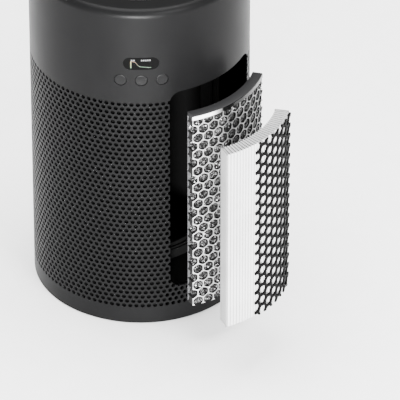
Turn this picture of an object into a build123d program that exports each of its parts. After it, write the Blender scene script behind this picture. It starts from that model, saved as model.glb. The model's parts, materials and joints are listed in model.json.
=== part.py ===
from build123d import *
import math
import os

os.makedirs("parts", exist_ok=True)

# Cylindrical air purifier with its two curved filter cartridges pulled out of the front window.
# Millimetres. Origin on the floor at the axis of the body, +Z up, the display faces -Y.
# Angles are in degrees about +Z, from the front (-Y) towards +X.

# ---- driving dimensions -------------------------------------------------------------------------
BODY_R = 110.0            # outside radius of the shell
SHELL_T = 2.5             # wall of the shell
SHELL_Z0 = 1.0            # lower edge of the shell, just off the floor
SHELL_Z1 = 352.0          # seam between the shell and the top bezel
BODY_H = 376.0            # overall height

SLIDE_ANGLE = 25.0        # the direction in which the cartridges pull out
WINDOW_LEFT = 15.2        # edges of the window on the outside of the shell
WINDOW_RIGHT = 76.0
WINDOW_Z0 = 42.3
WINDOW_Z1 = 278.5
WINDOW_CORNER_R = 12.0

DISPLAY_W = 35.3          # the display is a pill with round ends
DISPLAY_H = 13.8
DISPLAY_ANGLE = 0.6       # the panel sits just off the middle of the front
DISPLAY_Z = 315.9
BUTTON_ANGLES = {"button_left": -10.2, "button_centre": 0.6, "button_right": 11.4}
BUTTON_Z = 296.0
BUTTON_R = 5.95
BUTTON_GAP = 0.35
BUTTON_FOOT = (104.2, 1.5)           # where the foot behind each button ends, and its radius
BUTTON_TRAVEL = 0.8

CARBON_CENTRE = (15.0, -38.3)      # centre of the carbon cartridge's arc, pulled out
CARBON_R_IN = 99.5
CARBON_R_OUT = 110.0
CARBON_Z0 = 46.0
CARBON_CORE_Z1 = 270.3             # the cap stands on the core
CARBON_Z1 = 275.0
CARBON_LEFT_IN = 18.1              # ends of the arc about its own centre; the left end slants
CARBON_LEFT_OUT = 19.1
CARBON_RIGHT = 74.9
CELL_PITCH = 11.45                 # honeycomb cells, centre to centre along a row
CELL_WALL = 1.0
CELL_FIRST_ANGLE = 22.04
GRANULE_DEPTH = 3.0                # the granules end this far inside the open front of each cell
CARBON_TRAVEL = 74.0

PLEAT_CENTRE = (39.1, -95.5)       # centre of the pleated cartridge's arc, pulled out
PLEAT_R_IN = 94.9
PLEAT_R_OUT = 109.3
PLEAT_LEFT = 23.9
PLEAT_RIGHT = 77.5
PLEAT_Z0 = 58.0
PLEAT_Z1 = 266.0
PLEAT_COUNT = 28
END_BOARD_T = 1.2
NET_LEFT = 41.4                    # the coarse net covers the right part of the pleats
NET_T = 1.8
NET_PITCH = 12.1                   # height of a cell; its columns stand a fixed angle apart
NET_COLUMN_STEP = 4.87
NET_FIRST_COLUMN = 46.9
NET_FIRST_Z = 255.8
NET_STRAND = 2.9
PLEAT_TRAVEL = 36.0

INNER_R = BODY_R - SHELL_T
FLOOR_Z = 39.0                     # underside of the chamber floor
FLOOR_T = 3.0
DECK_Z = 281.0                     # underside of the fan deck
DECK_T = 4.0
DUCT_R = 60.0
HOUSING_R = 86.0                   # inside radius of the fan housing
BOARD_Y = -97.0                    # front face of the control board
TRAY_Z = 1.8                       # underside of the base tray
TRAY_T = 4.0
INLET_Z = 12.2                     # height of the mains inlet, in the back of the shell
INLET_HALF = (12.0, 6.5)

SCREW_R = 1.5                      # radius of every screw shank
POST_CIRCLE_R = 96.0               # the screws of the base tray stand on this circle
LEAD_HOLES = [(-20.0, -93.4), (0.0, 99.0)]
LEAD_R = 2.0                       # radius of the sleeved leads
SEAT_LEFT = 15.8                   # the seat that the carbon cartridge pushes against when it is in
SEAT_RIGHT = 75.4
SEAT_R = 97.2

SHAFT_R = 2.5
MOTOR_Z = (318.0, 342.0)           # bottom and top of the motor's can
LEAD_Z = 338.0                     # height at which the fan's lead leaves the motor
BOLT_CIRCLE_R = 17.0
BOARD_HOLES = [(-28.0, 330.0), (28.0, 330.0), (-28.0, 291.0), (28.0, 291.0)]


# ---- helpers ------------------------------------------------------------------------------------
def on_circle(centre, radius, angle, z=0.0):
    a = math.radians(angle)
    return (centre[0] + radius * math.sin(a), centre[1] - radius * math.cos(a), z)


def radial_plane(centre, radius, angle, z):
    """A plane whose normal points outwards at the angle, with its own y axis upright."""
    a = math.radians(angle)
    return Plane(
        origin=on_circle(centre, radius, angle, z),
        x_dir=(math.cos(a), math.sin(a), 0),
        z_dir=(math.sin(a), -math.cos(a), 0),
    )


SLIDE_PLANE = radial_plane((0, 0), 0, SLIDE_ANGLE, 0)
SLIDE_OUT = SLIDE_PLANE.z_dir


def disc(radius, z0, z1, x=0.0, y=0.0):
    return Pos(x, y, (z0 + z1) / 2) * Cylinder(radius, z1 - z0)


def ring(r_out, r_in, z0, z1):
    return disc(r_out, z0, z1) - disc(r_in, z0 - 1, z1 + 1)


def block(x0, x1, y0, y1, z0, z1):
    return Pos((x0 + x1) / 2, (y0 + y1) / 2, (z0 + z1) / 2) * Box(x1 - x0, y1 - y0, z1 - z0)


def band(centre, r_in, r_out, angle0, angle1, z0, z1):
    """A piece of upright tube wall between two angles."""
    outer = CenterArc(centre, r_out, angle0 - 90, angle1 - angle0)
    inner = CenterArc(centre, r_in, angle0 - 90, angle1 - angle0)
    outline = [outer, Line(outer @ 1, inner @ 1), inner, Line(inner @ 0, outer @ 0)]
    return extrude(Pos(0, 0, z0) * make_face(outline), z1 - z0)


def moved_in(centre, distance):
    """A cartridge's centre after it has slid into the body."""
    return (centre[0] - SLIDE_OUT.X * distance, centre[1] - SLIDE_OUT.Y * distance)


def slide_prism(p0, p1, z0, z1, reach, corner=0.0):
    """A bar along the slide direction, p across it, from the body's axis outwards."""
    sketch = Pos((p0 + p1) / 2, (z0 + z1) / 2) * Rectangle(p1 - p0, z1 - z0)
    if corner:
        sketch = fillet(sketch.vertices(), corner)
    return extrude(SLIDE_PLANE * sketch, reach)


def radial_rod(radius, angle, z, r0, r1):
    return extrude(radial_plane((0, 0), r0, angle, z) * Circle(radius), r1 - r0)


def across(angle):
    """How far across the slide direction a point of the shell's outside lies."""
    return BODY_R * math.sin(math.radians(angle - SLIDE_ANGLE))


def largest(shape):
    return max(shape.solids(), key=lambda solid: solid.volume)


def save(shape, node):
    solids = shape.solids()
    shape = solids[0] if len(solids) == 1 else Compound(children=list(solids))
    shape.label = node
    export_step(shape, f"parts/{node}.step")


WINDOW_P0 = across(WINDOW_LEFT)
WINDOW_P1 = across(WINDOW_RIGHT)


# ---- casing -------------------------------------------------------------------------------------
def pill(width, height, y_plane, depth):
    return extrude(y_plane * SlotOverall(width, height), depth)


def outer_shell():
    shell = ring(BODY_R, INNER_R, SHELL_Z0, SHELL_Z1)
    lower_edge = shell.edges().filter_by(GeomType.CIRCLE).sort_by(Axis.Z)[:2].sort_by(SortBy.RADIUS)[-1]
    shell = chamfer(lower_edge, 0.8)
    shell -= slide_prism(WINDOW_P0, WINDOW_P1, WINDOW_Z0, WINDOW_Z1, 200, WINDOW_CORNER_R)
    shell -= pill(DISPLAY_W + 0.3, DISPLAY_H + 0.3, radial_plane((0, 0), 90, DISPLAY_ANGLE, DISPLAY_Z), 30)
    for angle in BUTTON_ANGLES.values():
        shell -= radial_rod(BUTTON_R + BUTTON_GAP, angle, BUTTON_Z, 90, 120)
    half_w, half_h = INLET_HALF
    shell -= block(-half_w, half_w, 90, 120, INLET_Z - half_h, INLET_Z + half_h)
    return shell


def top_bezel():
    profile = [(86.5, 353), (107.0, 353), (107.0, 347), (104.5, 347), (104.5, 350.5), (86.5, 350.5)]
    outline = Polyline(*profile, close=True)
    lip = revolve(Plane.XZ * make_face(outline), Axis.Z)
    body = ring(BODY_R, 104.5, SHELL_Z1, BODY_H - 10)
    crown = ring(BODY_R, HOUSING_R, BODY_H - 10.0, BODY_H)
    rim = crown.edges().filter_by(GeomType.CIRCLE).group_by(Axis.Z)[-1]
    crown = fillet(rim.sort_by(SortBy.RADIUS)[-1], 8.0)
    inner_rim = crown.edges().filter_by(GeomType.CIRCLE).group_by(Axis.Z)[-1].sort_by(SortBy.RADIUS)[0]
    crown = fillet(inner_rim, 3.0)
    crown -= ring(105.5, 88.5, BODY_H - 11, BODY_H - 4)
    collar = ring(88.5, HOUSING_R, 350.5, BODY_H - 10)
    return lip + body + crown + collar


def outlet_grille():
    z0, z1 = 362.0, 368.0
    grille = ring(85.7, 82.7, z0, z1) + disc(21, z0, z1)
    grille += [ring(43.0, 41.6, z0 + 0.5, z1 - 1.0), ring(63.0, 61.6, z0 + 0.5, z1 - 1.0)]
    fin = block(19, 83.2, -0.8, 0.8, z0 + 0.2, z1 - 0.6)
    count = 44
    grille += [Rot(0, 0, 360 * k / count) * Pos(0, 7, 0) * fin for k in range(count)]
    return grille & disc(85.7, z0, z1)


def base_tray():
    tray = disc(INNER_R - 0.3, TRAY_Z, TRAY_Z + TRAY_T) + ring(INNER_R - 0.3, 105.0, TRAY_Z, 18.0)
    half_w, half_h = INLET_HALF
    tray -= block(-half_w, half_w, 90, 120, INLET_Z - half_h, 30)
    for x, y in POSTS:
        tray -= disc(4.2, TRAY_Z - 1, TRAY_Z + 2.4, x, y)
        tray -= disc(1.8, TRAY_Z, TRAY_Z + 10, x, y)
    return tray


POSTS = [on_circle((0, 0), POST_CIRCLE_R, angle)[:2] for angle in (45, 135, 225, 315)]


def base_pad():
    pad = disc(103, 0, TRAY_Z)
    for x, y in POSTS:
        pad -= disc(5.0, -1, 5, x, y)
    return pad


def base_screws():
    screws = []
    for x, y in POSTS:
        head = disc(3.6, TRAY_Z + 0.2, TRAY_Z + 2.4, x, y)
        slot = Pos(x, y, TRAY_Z) * (Box(4.6, 0.9, 2.0) + Box(0.9, 4.6, 2.0))
        screws.append(head - slot + disc(SCREW_R, TRAY_Z + 2.4, 17.0, x, y))
    return Compound(children=[screw.solids()[0] for screw in screws])


def prefilter_sleeve():
    sleeve = ring(106.9, 106.1, 19.0, 277.5)
    return sleeve - slide_prism(WINDOW_P0 - 3.5, WINDOW_P1 + 3.5, 19, WINDOW_Z1 + 5, 200)


# ---- filter chamber -----------------------------------------------------------------------------


def chamber_floor():
    floor = disc(105.8, FLOOR_Z, FLOOR_Z + FLOOR_T)
    for x, y in LEAD_HOLES:
        floor -= disc(LEAD_R + 0.8, FLOOR_Z - 1, FLOOR_Z + FLOOR_T + 1, x, y)
    return floor


def floor_spacers():
    """Round spacers that carry the chamber floor and take the screws of the base tray."""
    spacers = []
    for x, y in POSTS:
        post = disc(4.5, TRAY_Z + TRAY_T, FLOOR_Z, x, y) - disc(SCREW_R + 0.02, 0, 20.0, x, y)
        spacers.append(post.solids()[0])
    return Compound(children=spacers)


def fan_deck():
    deck = disc(107.2, DECK_Z, DECK_Z + DECK_T) + ring(DUCT_R, 57.5, DECK_Z, DECK_Z + 9.0)
    deck -= disc(57.5, DECK_Z - 1, DECK_Z + 10)
    for x, y in LEAD_HOLES:
        deck -= disc(LEAD_R + 0.8, DECK_Z - 1, DECK_Z + DECK_T + 1, x, y)
    return deck


SEAT_CENTRE = moved_in(CARBON_CENTRE, CARBON_TRAVEL)


def air_duct():
    duct = ring(DUCT_R + 2, DUCT_R, FLOOR_Z + FLOOR_T, DECK_Z)
    return duct - slide_prism(-14, 50, 60, 262, 100)


def filter_seat():
    """The curved frame that the carbon cartridge rests against, with webs back to the duct."""
    z0, z1 = FLOOR_Z + FLOOR_T, DECK_Z
    seat = band(SEAT_CENTRE, SEAT_R - 2, SEAT_R, SEAT_LEFT, SEAT_RIGHT, z0, z1)
    near_left = on_circle(SEAT_CENTRE, SEAT_R - 1, SEAT_LEFT)[:2]
    near_right = on_circle(SEAT_CENTRE, SEAT_R - 1, SEAT_RIGHT)[:2]
    for near, angle in ((near_left, 6.0), (near_right, 78.0)):
        far = on_circle((0, 0), DUCT_R + 1, angle)[:2]
        length = math.dist(near, far)
        turn = math.degrees(math.atan2(near[1] - far[1], near[0] - far[0]))
        mid = ((near[0] + far[0]) / 2, (near[1] + far[1]) / 2)
        seat += Pos(mid[0], mid[1], (z0 + z1) / 2) * Rot(0, 0, turn) * Box(length, 2, z1 - z0)
    seat -= disc(DUCT_R + 2, 0, 400)
    opening = band(SEAT_CENTRE, SEAT_R - 5, SEAT_R + 5, SEAT_LEFT + 5, SEAT_RIGHT - 5, 56, 266)
    return largest(seat - opening)


def seat_seal():
    seal = band(SEAT_CENTRE, SEAT_R, SEAT_R + 1.8, SEAT_LEFT, SEAT_RIGHT, 44, 276)
    return seal - band(SEAT_CENTRE, SEAT_R - 1, SEAT_R + 5, SEAT_LEFT + 4, SEAT_RIGHT - 4, 54, 268)


def guide_rails():
    rails = []
    for z0, z1 in ((FLOOR_Z + FLOOR_T, 58.0), (264.0, DECK_Z)):
        for p0, p1 in ((WINDOW_P0 - 2.4, WINDOW_P0 - 0.2), (WINDOW_P1 + 0.2, WINDOW_P1 + 2.4)):
            bar = slide_prism(p0, p1, z0, z1, 200) & disc(105.8, 0, 400)
            bar -= disc(DUCT_R + 24, 0, 400)
            rails.append(largest(bar))
    return Compound(children=rails)


# ---- fan ----------------------------------------------------------------------------------------


def lead_entry():
    """The hole through the housing and the bracket's rim that the fan lead passes."""
    return Pos(0, HOUSING_R, LEAD_Z) * Rot(90, 0, 0) * Cylinder(LEAD_R + 0.6, 20)


def fan_housing():
    return ring(HOUSING_R + 2, HOUSING_R, DECK_Z + DECK_T, 350.5) - lead_entry()


def motor_bracket():
    z0, z1 = MOTOR_Z[1], MOTOR_Z[1] + 3
    bracket = disc(31, z0, z1) + ring(HOUSING_R - 0.2, 82.5, z0 - 6, z1)
    for k in range(5):
        bracket += Rot(0, 0, 90 + 72 * k) * block(28, 83.5, -3, 3, z0, z1)
    for x, y in MOTOR_BOLTS:
        bracket -= disc(1.8, z0 - 1, z1 + 1, x, y)
    return bracket - lead_entry()


MOTOR_BOLTS = [
    (BOLT_CIRCLE_R * math.cos(math.radians(a)), BOLT_CIRCLE_R * math.sin(math.radians(a))) for a in (30, 150, 270)
]


def fan_motor():
    can = fillet(disc(26, *MOTOR_Z).edges().filter_by(GeomType.CIRCLE), 2.0)
    can -= disc(SHAFT_R + 0.06, 300, 335)
    for x, y in MOTOR_BOLTS:
        can -= disc(SCREW_R, MOTOR_Z[1] - 6, MOTOR_Z[1] + 1, x, y)
    return can


def motor_screws():
    screws = []
    for x, y in MOTOR_BOLTS:
        top = MOTOR_Z[1] + 3
        cross = Pos(x, y, top + 2.2) * (Box(4, 0.8, 1.6) + Box(0.8, 4, 1.6))
        head = disc(3.0, top, top + 2.2, x, y) - cross
        screws.append((head + disc(SCREW_R, MOTOR_Z[1] - 5.5, top, x, y)).solids()[0])
    return Compound(children=screws)


def impeller():
    """Backward-curved centrifugal wheel: inlet ring below, blades, back plate and hub above."""
    wheel = ring(76, 61.5, 291.0, 292.6) + disc(76, 314, 316) + disc(10, 305, 314)
    blade = band((34, 30), 44, 45.6, 12, 74, 292.0, 314.5)
    blade = blade & ring(75.4, 48, 280, 330)
    count = 24
    wheel += [Rot(0, 0, 360 * k / count) * blade for k in range(count)]
    return wheel - disc(SHAFT_R, 280, 330)


def motor_shaft():
    return disc(SHAFT_R, 298.0, 333.0)


def impeller_nut():
    nut = extrude(Pos(0, 0, 300.5) * RegularPolygon(4.6, 6), 4.3)
    return nut - disc(SHAFT_R, 290, 310)


# ---- display, buttons and boards ----------------------------------------------------------------
def display_lens():
    lens = pill(DISPLAY_W, DISPLAY_H, radial_plane((0, 0), 90, DISPLAY_ANGLE, DISPLAY_Z), 30)
    return lens & ring(BODY_R, INNER_R, 300, 330)


def display_module():
    return block(-15.4, 17.6, -104.4, BOARD_Y, DISPLAY_Z - 6.6, DISPLAY_Z + 6.6)


def control_board():
    board = block(-32, 32, BOARD_Y, BOARD_Y + 1.6, 287.5, 334)
    for x in (-12, 2, 16):
        board += block(x - 4, x + 4, BOARD_Y + 1.6, BOARD_Y + 3.4, 318, 326)
    board += block(-24, -16, BOARD_Y + 1.6, BOARD_Y + 6.0, 300, 306)
    for x, z in BOARD_HOLES:
        board -= Pos(x, BOARD_Y, z) * Rot(90, 0, 0) * Cylinder(1.7, 10)
    return board


def board_frame():
    """The plastic frame behind the front panel that carries the control board."""
    frame = block(-36, 36, BOARD_Y - 3.2, BOARD_Y, DECK_Z + DECK_T, 340)
    frame -= block(-25, 25, -110, -90, 286.5, 335)
    for x, z in BOARD_HOLES:
        frame -= Pos(x, BOARD_Y, z) * Rot(90, 0, 0) * Cylinder(1.26, 4.8)
    return frame


def board_screws():
    screws = []
    for x, z in BOARD_HOLES:
        at = Pos(x, 0, z) * Rot(90, 0, 0)
        head = at * Pos(0, 0, -(BOARD_Y + 2.4)) * Cylinder(2.4, 1.6)
        shank = at * Pos(0, 0, -(BOARD_Y - 0.2)) * Cylinder(1.24, 3.6)
        screws.append((head + shank).solids()[0])
    return Compound(children=screws)


def tact_switches():
    switches = []
    for angle in BUTTON_ANGLES.values():
        x = 99.0 * math.tan(math.radians(angle))
        body = block(x - 3, x + 3, BOARD_Y - 3.5, BOARD_Y, BUTTON_Z - 3, BUTTON_Z + 3)
        foot_r, foot_size = BUTTON_FOOT
        foot_y = foot_size * abs(math.sin(math.radians(angle))) - foot_r * math.cos(math.radians(angle))
        tip, base = foot_y + BUTTON_TRAVEL + 0.05, BOARD_Y - 3.4
        plunger = Pos(x, (tip + base) / 2, BUTTON_Z) * Rot(90, 0, 0) * Cylinder(1.7, base - tip)
        switches.append((body + plunger).solids()[0])
    return Compound(children=switches)


def button(angle):
    """A round cap flush with the shell, its flange behind the wall and a foot for the switch."""
    cap = radial_rod(BUTTON_R, angle, BUTTON_Z, 106.0, 115.0) & disc(BODY_R, 280, 310)
    flange = radial_rod(BUTTON_R + 1.3, angle, BUTTON_Z, 105.0, 106.8)
    foot = radial_rod(BUTTON_FOOT[1], angle, BUTTON_Z, BUTTON_FOOT[0], 105.0)
    return cap + flange + foot


# ---- electrics in the base ----------------------------------------------------------------------
def power_board():
    board = block(-45, 45, -10, 50, 9.0, 10.6)
    board += block(-38, -10, 10, 40, 10.6, 30)
    board += [disc(8, 10.6, 31, 8, 30), disc(8, 10.6, 31, 28, 30)]
    board += block(2, 40, -4, 12, 10.6, 22)
    board += block(-4, 4, 44, 50, 10.6, 30) + block(-24, -16, -10, -4, 10.6, 17)
    for x in (-41, 41):
        for y in (-6, 46):
            board += disc(3, TRAY_Z + TRAY_T, 9.0, x, y)
    return board


def power_inlet():
    half_w, half_h = INLET_HALF
    body = block(-half_w + 0.2, half_w - 0.2, 88, 109.2, INLET_Z - half_h + 0.2, INLET_Z + half_h - 0.2)
    mouth = Plane(origin=(0, 109.2, INLET_Z), x_dir=(1, 0, 0), z_dir=(0, 1, 0)) * SlotOverall(17.0, 8.8)
    body -= extrude(mouth, -14.0)
    for x in (-4.3, 4.3):
        body += Pos(x, 99, INLET_Z) * Rot(90, 0, 0) * Cylinder(1.2, 12)
    return body


def particle_sensor():
    place = Rot(0, 0, 205)
    case = block(88, 100, -19, 19, 7.0, 31.0) - block(99, 101, -6, 6, 14, 24)
    foot = block(88, 100, -19, 19, TRAY_Z + TRAY_T, 7.0)
    return place * (case + foot)


def lead(points, radius):
    path = FilletPolyline(*points, radius=radius)
    start = Plane(origin=path @ 0, z_dir=path % 0)
    return sweep(start * Circle(LEAD_R), path)


def fan_lead():
    x, y = LEAD_HOLES[1]
    return lead([(x, 50.0, 26.0), (x, y, 26.0), (x, y, LEAD_Z), (x, 26.1, LEAD_Z)], 9.0)


def panel_lead():
    x, y = LEAD_HOLES[0]
    return lead([(x, y, 300.0), (x, y, 13.5), (x, -10.0, 13.5)], 9.0)


# ---- carbon cartridge ---------------------------------------------------------------------------
def left_end_cut():
    """Everything to the left of the carbon cartridge's slanting end."""
    inner = on_circle(CARBON_CENTRE, CARBON_R_IN, CARBON_LEFT_IN)
    outer = on_circle(CARBON_CENTRE, CARBON_R_OUT, CARBON_LEFT_OUT)
    turn = math.degrees(math.atan2(outer[1] - inner[1], outer[0] - inner[0]))
    cut = Pos(0, -50, 200) * Box(200, 100, 400)
    return Pos(inner[0], inner[1], 0) * Rot(0, 0, turn) * cut


def carbon_band(r_in, r_out, z0, z1):
    return band(CARBON_CENTRE, r_in, r_out, 10, CARBON_RIGHT, z0, z1) - left_end_cut()


def cell_places():
    """Angle and height of each honeycomb cell: staggered rows of upright hexagons."""
    row_step = CELL_PITCH * math.sqrt(3) / 2
    angle_step = math.degrees(CELL_PITCH / CARBON_R_OUT)
    places = []
    for row in range(24):
        z = CARBON_CORE_Z1 - 2.0 - row * row_step
        for column in range(-2, 11):
            angle = CELL_FIRST_ANGLE + angle_step * (column + 0.5 * (row % 2))
            if angle < CARBON_RIGHT - 3:
                places.append((angle, z))
    return places


def hex_rods(centre, places, radius, turn, r0, r1):
    outline = RegularPolygon(radius, 6, rotation=turn)
    return [extrude(radial_plane(centre, r0, a, z) * outline, r1 - r0) for a, z in places]


def carbon_honeycomb():
    core = carbon_band(CARBON_R_IN + 0.6, CARBON_R_OUT, CARBON_Z0, CARBON_CORE_Z1)
    cell_r = (CELL_PITCH - CELL_WALL) / math.sqrt(3)
    return largest(core.cut(*hex_rods(CARBON_CENTRE, cell_places(), cell_r, 30, 90, 120)))


def carbon_granules():
    """One slab of granules per cell that lies wholly inside the core."""
    cell_r = (CELL_PITCH - CELL_WALL) / math.sqrt(3) - 0.15
    inside = [(a, z) for a, z in cell_places() if a > 21 and CARBON_Z0 + 6 < z < CARBON_CORE_Z1 - 6]
    rods = hex_rods(CARBON_CENTRE, inside, cell_r, 30, CARBON_R_IN + 1.0, CARBON_R_OUT - GRANULE_DEPTH)
    return Compound(children=[rod.solids()[0] for rod in rods])


def carbon_scrim():
    return carbon_band(CARBON_R_IN, CARBON_R_IN + 0.6, CARBON_Z0, CARBON_CORE_Z1)


def carbon_cap():
    return carbon_band(CARBON_R_IN, CARBON_R_OUT, CARBON_CORE_Z1, CARBON_Z1)


# ---- pleated cartridge --------------------------------------------------------------------------
def hepa_pleats():
    """One folded sheet: a zigzag between the inner and outer radius."""
    margin = math.degrees((END_BOARD_T + 0.4) / PLEAT_R_IN)
    left, right = PLEAT_LEFT + margin, PLEAT_RIGHT - margin
    step = (right - left) / (2 * PLEAT_COUNT)
    front = []
    back = []
    for k in range(2 * PLEAT_COUNT + 1):
        radius = PLEAT_R_OUT - 0.6 if k % 2 else PLEAT_R_IN + 0.6
        front.append(on_circle(PLEAT_CENTRE, radius + 0.5, left + k * step)[:2])
        back.append(on_circle(PLEAT_CENTRE, radius - 0.5, left + k * step)[:2])
    outline = Polyline(*front, *reversed(back), close=True)
    return extrude(Pos(0, 0, PLEAT_Z0) * make_face(outline), PLEAT_Z1 - PLEAT_Z0)


def hepa_end_board(angle, inward):
    width = math.degrees(END_BOARD_T / PLEAT_R_IN) * inward
    angles = sorted((angle, angle + width))
    return band(PLEAT_CENTRE, PLEAT_R_IN, PLEAT_R_OUT, *angles, PLEAT_Z0, PLEAT_Z1)


def prefilter_net():
    """A coarse hexagonal net, cut through its cells along every edge."""
    net = band(PLEAT_CENTRE, PLEAT_R_OUT, PLEAT_R_OUT + NET_T, NET_LEFT, PLEAT_RIGHT, PLEAT_Z0, PLEAT_Z1)
    places = []
    for column in range(-1, 7):
        for row in range(-1, 18):
            z = NET_FIRST_Z + NET_PITCH * (0.5 * (column % 2) - row)
            places.append((NET_FIRST_COLUMN + column * NET_COLUMN_STEP, z))
    holes = hex_rods(PLEAT_CENTRE, places, (NET_PITCH - NET_STRAND) / math.sqrt(3), 0, 100, 120)
    return largest(net.cut(*holes))


# ---- write every node ---------------------------------------------------------------------------
NODES = {
    "outer_shell": outer_shell,
    "top_bezel": top_bezel,
    "outlet_grille": outlet_grille,
    "base_tray": base_tray,
    "base_pad": base_pad,
    "base_screws": base_screws,
    "prefilter_sleeve": prefilter_sleeve,
    "chamber_floor": chamber_floor,
    "floor_spacers": floor_spacers,
    "fan_deck": fan_deck,
    "air_duct": air_duct,
    "filter_seat": filter_seat,
    "seat_seal": seat_seal,
    "guide_rails": guide_rails,
    "fan_housing": fan_housing,
    "motor_bracket": motor_bracket,
    "fan_motor": fan_motor,
    "motor_screws": motor_screws,
    "impeller": impeller,
    "motor_shaft": motor_shaft,
    "impeller_nut": impeller_nut,
    "display_lens": display_lens,
    "display_module": display_module,
    "control_board": control_board,
    "board_frame": board_frame,
    "board_screws": board_screws,
    "tact_switches": tact_switches,
    "power_board": power_board,
    "power_inlet": power_inlet,
    "particle_sensor": particle_sensor,
    "fan_lead": fan_lead,
    "panel_lead": panel_lead,
    "carbon_cap": carbon_cap,
    "carbon_honeycomb": carbon_honeycomb,
    "carbon_granules": carbon_granules,
    "carbon_scrim": carbon_scrim,
    "hepa_pleats": hepa_pleats,
    "hepa_end_board_left": lambda: hepa_end_board(PLEAT_LEFT, 1),
    "hepa_end_board_right": lambda: hepa_end_board(PLEAT_RIGHT, -1),
    "prefilter_net": prefilter_net,
}

for name, make in NODES.items():
    save(make(), name)
for name, angle in BUTTON_ANGLES.items():
    save(button(angle), name)
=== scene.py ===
import json
import math
import random

import bmesh
import bpy
from mathutils import Matrix, Vector


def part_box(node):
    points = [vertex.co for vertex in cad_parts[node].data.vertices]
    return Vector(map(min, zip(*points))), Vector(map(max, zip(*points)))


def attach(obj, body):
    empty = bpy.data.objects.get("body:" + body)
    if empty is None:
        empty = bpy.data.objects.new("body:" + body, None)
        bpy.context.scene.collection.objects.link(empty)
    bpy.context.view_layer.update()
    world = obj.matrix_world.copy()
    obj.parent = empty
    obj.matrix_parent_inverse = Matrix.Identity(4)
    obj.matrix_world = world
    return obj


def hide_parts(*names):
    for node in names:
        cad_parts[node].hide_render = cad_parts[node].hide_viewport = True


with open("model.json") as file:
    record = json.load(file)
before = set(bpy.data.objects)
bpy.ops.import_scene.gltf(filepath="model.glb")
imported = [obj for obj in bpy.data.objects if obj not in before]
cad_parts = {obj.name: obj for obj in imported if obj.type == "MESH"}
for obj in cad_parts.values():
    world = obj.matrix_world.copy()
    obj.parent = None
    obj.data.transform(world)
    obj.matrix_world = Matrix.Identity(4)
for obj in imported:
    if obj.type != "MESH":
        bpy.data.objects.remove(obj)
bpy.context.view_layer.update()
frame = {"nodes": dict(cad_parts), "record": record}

# Lengths below are in millimetres and angles in degrees, turned into metres where a mesh is made.
# Angles run about +Z from the front (-Y) towards +X, as on the CAD model.
MM = 0.001


def node_box(node):
    low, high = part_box(node)
    return [value / MM for value in low], [value / MM for value in high]


# ---- sizes: read from the frame where a node shows them, the rest as on the CAD model -----------
SHELL_LOW, SHELL_HIGH = node_box("outer_shell")
BODY_R = SHELL_HIGH[0]
SHELL_T = 2.5
INNER_R = BODY_R - SHELL_T
SHELL_Z0, SHELL_Z1 = SHELL_LOW[2], SHELL_HIGH[2]
AXIS = (0.0, 0.0)

SLIDE_ANGLE = 25.0
WINDOW_LEFT, WINDOW_RIGHT = 15.2, 76.0
WINDOW_Z0, WINDOW_Z1 = 42.3, 278.5
WINDOW_CORNER_R = 12.0

HOLES_AROUND = 110
HOLE_ROWS = 46
HOLE_R = 2.2
FIRST_ROW_Z = 22.3
HOLE_STEP = 360.0 / HOLES_AROUND
HOLE_PHASE = 0.4
ROW_STEP = math.radians(HOLE_STEP) * BODY_R * math.sqrt(3) / 2

CARBON_CENTRE = (15.0, -38.3)
CARBON_R_IN, CARBON_R_OUT = 99.5, 110.0
CARBON_LEFT_IN, CARBON_LEFT_OUT, CARBON_RIGHT = 18.1, 19.1, 74.9
CARBON_Z0, CARBON_CORE_Z1 = node_box("carbon_honeycomb")[0][2], node_box("carbon_honeycomb")[1][2]
CARBON_Z1 = node_box("carbon_cap")[1][2]
CELL_PITCH = 11.45
CELL_WALL = 0.72

PLEAT_CENTRE = (39.1, -95.5)
PLEAT_R_IN, PLEAT_R_OUT = 94.9, 109.3
PLEAT_LEFT, PLEAT_RIGHT = 23.9, 77.5
PLEAT_Z0, PLEAT_Z1 = node_box("hepa_end_board_left")[0][2], node_box("hepa_end_board_left")[1][2]
NET_R_IN, NET_R_OUT = 109.35, 111.1
NET_PITCH = 12.1
NET_COLUMN_STEP = 4.87
NET_FIRST_COLUMN = 46.9
NET_FIRST_Z = 255.8
NET_LEFT = 41.4
NET_STRAND = 2.55

DISPLAY_Z = sum(node_box("display_lens")[i][2] for i in (0, 1)) / 2
BUTTON_Z = sum(node_box("button_centre")[i][2] for i in (0, 1)) / 2
BUTTON_ANGLES = {"left": -10.2, "centre": 0.6, "right": 11.4}
BUTTON_R = 5.95
BUTTON_GAP = 0.35
DISPLAY_ANGLE = 0.6
DISPLAY_H = 13.8
DISPLAY_CUT_HALF_W = 17.8
DISPLAY_GAP = 0.15
INLET_Z = 12.2
INLET_HALF_W, INLET_HALF_H, INLET_CORNER_R = 12.0, 6.5, 1.0
CUT_FROM_R, CUT_TO_R = 90, 120          # radii between which the small openings are cut


# ---- camera, floor and light --------------------------------------------------------------------
def add_camera():
    """A long lens from 5.2 m, looking down by 35 degrees, aimed a little right of and below the body."""
    elevation = math.radians(34.78)
    distance = 5.211
    aim = Vector((0.0, 0.0, 0.1423))
    forward = Vector((0.0, math.cos(elevation), -math.sin(elevation)))
    up = Vector((0.0, math.sin(elevation), math.cos(elevation)))
    turn_right, turn_down = math.radians(0.656), math.radians(0.609)
    view = forward + Vector((math.tan(turn_right), 0.0, 0.0)) - math.tan(turn_down) * up
    data = bpy.data.cameras.new("camera")
    data.lens = 463.3
    data.sensor_width = 36.0
    data.clip_end = 30.0
    camera = bpy.data.objects.new("camera", data)
    camera.location = aim - forward * distance
    camera.rotation_euler = view.to_track_quat("-Z", "Y").to_euler()
    bpy.context.collection.objects.link(camera)
    bpy.context.scene.camera = camera


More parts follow.
